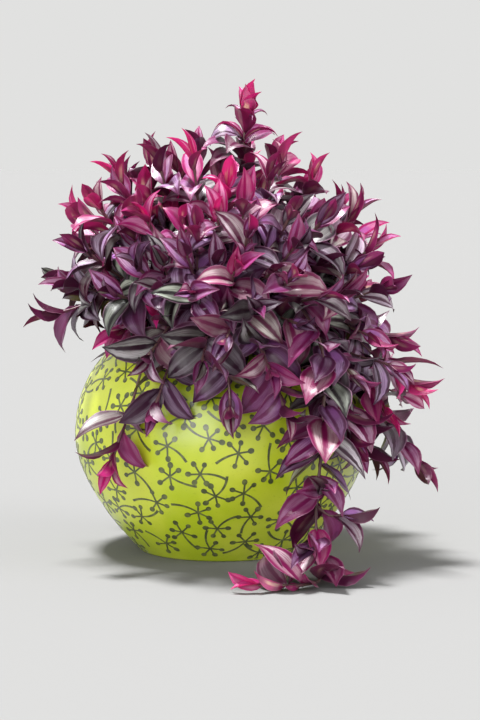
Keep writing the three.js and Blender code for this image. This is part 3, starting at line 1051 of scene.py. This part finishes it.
def leaf_upper():
    # The upper skin goes from green-black to purple, with two pearly bands that throw the light back.
    material, tree = new_material("striped_leaf_upper_skin")
    uv, across, along, tones = blade_coordinates(tree)
    wander = streaks(tree, uv, tones, BLADE_SPAN, 4.29, 34.4)
    drift = add_node(tree, "Math", {0: wander, 1: 0.5}, operation="SUBTRACT")
    nudge = add_node(tree, "Math", {0: drift, 1: 0.3, 2: across}, operation="MULTIPLY_ADD")
    band = ramp(tree, nudge, [(0.12, 0), (0.26, 1), (0.6, 1), (0.8, 0)])
    ends = ramp(tree, along, [(0.02, 0), (0.2, 1), (0.78, 1), (0.99, 0)])
    lines = streaks(tree, uv, tones, BLADE_SPAN, 0.652, 22.9)
    pearl = ramp(tree, lines, [(0.3, 0.35), (0.6, 1)])
    clouds = streaks(tree, uv, tones, BLADE_SPAN, 13.6, 36.7, 1.0)
    cloud = ramp(tree, clouds, [(0.36, 0.45), (0.6, 1)])
    stripe = times(tree, times(tree, times(tree, band, ends), pearl), cloud)
    strength = add_node(tree, "Math", {0: (tones, 1), 1: 1.0, 2: 0.05}, operation="MULTIPLY_ADD")
    stripe = times(tree, stripe, strength)
    dark = blend(tree, (tones, 2), "#140e10", "#501c44")
    # The pink tone is partly painted light: the leaves of lit shoots are pinker.
    dark = blend(tree, (tones, 0), dark, "#b81a74")
    light = blend(tree, (tones, 2), "#dce4d2", "#e4b8f0")
    light = blend(tree, (tones, 0), light, "#fbb8dc")
    flushes = streaks(tree, uv, tones, BLADE_SPAN, 18.8, 28.9, 1.0)
    flush = ramp(tree, flushes, [(0.42, 0), (0.6, 0.7)])
    light = blend(tree, times(tree, flush, (tones, 2)), light, "#a84cb8")
    colour = blend(tree, stripe, dark, light)
    # A narrow pale pink rim along the edge: partly the leaf's own pink margin, partly a painted highlight where
    # light shines through the thin edge.
    colour = blend(tree, ramp(tree, across, [(0.9, 0), (0.99, 0.25)]), colour, "#dc9cc4")
    through = blend(tree, (tones, 0), "#6a1440", "#ff3cb0")
    leaf_surface(tree, tones, colour, through, 0.16, 0.34, lines)
    return material


def leaf_under():
    # The underside is a smooth wine red, which turns to a bright magenta where light comes through. The
    # youngest leaves have cream bands.
    material, tree = new_material("wine_red_leaf_underside")
    uv, across, along, tones = blade_coordinates(tree)
    lines = streaks(tree, uv, tones, BLADE_SPAN, 1.0, 30.6)
    deep = blend(tree, (tones, 2), "#300818", "#4e1838")
    # The pink tone is partly painted light: the leaves of lit shoots are pinker.
    deep = blend(tree, (tones, 0), deep, "#cc3484")
    vein = ramp(tree, lines, [(0.35, 0), (0.7, 0.45)])
    colour = blend(tree, vein, deep, "#7c3060")
    band = ramp(tree, across, [(0.1, 0), (0.2, 1), (0.4, 1), (0.55, 0)])
    ends = ramp(tree, along, [(0.02, 0), (0.2, 1), (0.45, 1), (0.7, 0)])
    clouds = streaks(tree, uv, tones, BLADE_SPAN, 11.5, 36.7, 1.0)
    cloud = ramp(tree, clouds, [(0.4, 0), (0.56, 1)])
    cream = times(tree, times(tree, times(tree, band, ends), cloud), (tones, 0))
    colour = blend(tree, cream, colour, "#f2dcb8")
    # Darker burgundy towards the leaf's base: partly the leaf's own colour, partly painted shade inside the
    # shoots' cups.
    foot = ramp(tree, along, [(0.0, 0.8), (0.4, 0)])
    colour = blend(tree, foot, colour, "#48142e")
    shades = streaks(tree, uv, tones, BLADE_SPAN, 16.7, 45.8, 1.0)
    shade = ramp(tree, shades, [(0.42, 0), (0.62, 0.75)])
    colour = blend(tree, shade, colour, "#4a1034")
    # A narrow pale pink rim along the edge: partly the leaf's own pink margin, partly a painted highlight where
    # light shines through the thin edge.
    colour = blend(tree, ramp(tree, across, [(0.9, 0), (0.99, 0.25)]), colour, "#e49ac0")
    through = blend(tree, (tones, 0), "#801250", "#ff46b8")
    leaf_surface(tree, tones, colour, through, 0.22, 0.3, lines)
    return material


def stem_skin():
    # Fleshy stems, smooth and slightly glossy, streaked with wine red and brown along their length.
    material, tree = new_material("fleshy_stem_skin")
    uv, _, _, tones = blade_coordinates(tree)
    lines = streaks(tree, uv, tones, STEM_SPAN, 2.2, 16.7)
    patch = ramp(tree, lines, [(0.35, 0), (0.65, 1)])
    colour = blend(tree, patch, "#5a3040", "#624c44")
    bump = add_node(tree, "Bump", {"Height": lines, "Distance": 0.0003, "Strength": 0.4})
    skin = add_node(tree, "BsdfPrincipled", {
        "Base Color": colour, "Roughness": 0.42, "IOR": 1.45, "Normal": bump,
    })
    add_node(tree, "OutputMaterial", {0: skin})
    return material


def lime_glaze():
    # Stoneware under a thick lime glaze: glossy, with soft pools of a greener and of a yellower tint.
    material, tree = new_material("lime_glazed_stoneware")
    place = add_node(tree, "TexCoord")
    clouds = add_node(tree, "TexNoise", {"Vector": (place, 3), "Scale": per_metre(71.4), "Detail": 3.0})
    pools = ramp(tree, clouds, [(0.35, 0), (0.68, 1)])
    specks = add_node(tree, "TexNoise", {"Vector": (place, 3), "Scale": per_metre(2.38), "Detail": 2.0})
    speck = ramp(tree, specks, [(0.64, 0), (0.72, 0.35)])
    colour = blend(tree, pools, "#b4c61e", "#ccd63e")
    colour = blend(tree, speck, colour, "#98a51f")
    ripple = add_node(tree, "TexNoise", {"Vector": (place, 3), "Scale": per_metre(18.2), "Detail": 1.0})
    bump = add_node(tree, "Bump", {"Height": ripple, "Distance": 0.0008, "Strength": 0.25})
    glaze = add_node(tree, "BsdfPrincipled", {
        "Base Color": colour, "Roughness": 0.3, "IOR": 1.52, "Normal": bump,
        "Coat Weight": 0.35, "Coat Roughness": 0.2,
    })
    add_node(tree, "OutputMaterial", {0: glaze})
    return material


def sprig_paint():
    # A dark olive slip brushed on under the glaze, thinner and greyer here and there.
    material, tree = new_material("olive_slip_paint")
    place = add_node(tree, "TexCoord")
    worn = add_node(tree, "TexNoise", {"Vector": (place, 3), "Scale": per_metre(6.25), "Detail": 4.0})
    thin = ramp(tree, worn, [(0.4, 0), (0.7, 1)])
    colour = blend(tree, thin, "#474e2c", "#6b733f")
    paint = add_node(tree, "BsdfPrincipled", {
        "Base Color": colour, "Roughness": 0.35, "IOR": 1.52, "Coat Weight": 0.5, "Coat Roughness": 0.15,
    })
    add_node(tree, "OutputMaterial", {0: paint})
    return material


def potting_soil():
    # Moist peat and bark: nearly black, rough, with paler crumbs about 3 mm across.
    material, tree = new_material("moist_potting_soil")
    place = add_node(tree, "TexCoord")
    crumbs = add_node(tree, "TexNoise", {"Vector": (place, 3), "Scale": per_metre(3.03), "Detail": 5.0})
    bark = ramp(tree, crumbs, [(0.5, 0), (0.72, 1)])
    colour = blend(tree, bark, "#221812", "#5a4433")
    bump = add_node(tree, "Bump", {"Height": crumbs, "Distance": 0.002, "Strength": 0.9})
    earth = add_node(tree, "BsdfPrincipled", {"Base Color": colour, "Roughness": 0.95, "Normal": bump})
    add_node(tree, "OutputMaterial", {0: earth})
    return material


# Stage -----------------------------------------------------------------------------------------------------


ROOM_COLOUR = "#e1e1e0"
# Each soft light: its name, the direction it comes from, its spread in degrees and its power.
LIGHTS = [
    ("top_light", (-0.25, 0.15, 1.3), 12, 9.0),
    ("soft_box", (-0.5, -1.1, 0.26), 44, 1.9),
    ("side_light", (1.0, -0.3, 0.5), 30, 1.4),
]
# In metres, and degrees and millimetres for the camera's tilt, lens and sensor.
FLOOR_REACH = 40
CAMERA_PLACE = (0.020, -2.500, 0.440)
CAMERA_TILT = 90 - 5.33
LENS = 114.9
SENSOR = 36


def make_floor():
    deselect()
    bpy.ops.mesh.primitive_circle_add(vertices=96, radius=FLOOR_REACH, fill_type="NGON", location=(0, 0, 0))
    floor = bpy.context.object
    floor.name = "pale_floor"
    # Matte grey, of the shade that looks as bright under these lights as the room behind it.
    room = linear(ROOM_COLOUR)
    lit = sum(power * Vector(come_from).normalized().z for _, come_from, _, power in LIGHTS) / math.pi
    material, tree = new_material("matte_pale_floor")
    matte = add_node(tree, "BsdfPrincipled", {
        "Base Color": [c / (c + lit) for c in room[:3]] + [1.0], "Roughness": 1.0, "Specular IOR Level": 0.0,
    })
    add_node(tree, "OutputMaterial", {0: matte})
    floor.data.materials.append(material)


def make_studio():
    scene = bpy.context.scene
    scene.view_settings.view_transform = "Standard"
    world = bpy.data.worlds.new("pale_room")
    scene.world = world
    world.use_nodes = True
    world.node_tree.nodes["Background"].inputs[0].default_value = linear(ROOM_COLOUR)
    for name, come_from, spread_angle, power in LIGHTS:
        lamp = bpy.data.lights.new(name, "SUN")
        lamp.energy = power
        lamp.angle = math.radians(spread_angle)
        sun = bpy.data.objects.new(name, lamp)
        sun.rotation_euler = Vector(come_from).to_track_quat("Z", "Y").to_euler()
        scene.collection.objects.link(sun)


def make_camera():
    camera = bpy.data.cameras.new("camera")
    camera.lens = LENS
    camera.sensor_width = SENSOR
    holder = bpy.data.objects.new("camera", camera)
    holder.location = CAMERA_PLACE
    holder.rotation_euler = (math.radians(CAMERA_TILT), 0, 0)
    bpy.context.scene.collection.objects.link(holder)
    bpy.context.scene.camera = holder


make_camera()
make_studio()
make_floor()
make_pot(lime_glaze())
make_sprigs(sprig_paint())
make_soil(potting_soil())
foliage = [leaf_upper(), leaf_under(), stem_skin()]
template = blade_template()
for index, shoots in enumerate(grow_plant()):
    make_stem_piece(index, shoots, template, foliage)

deselect()
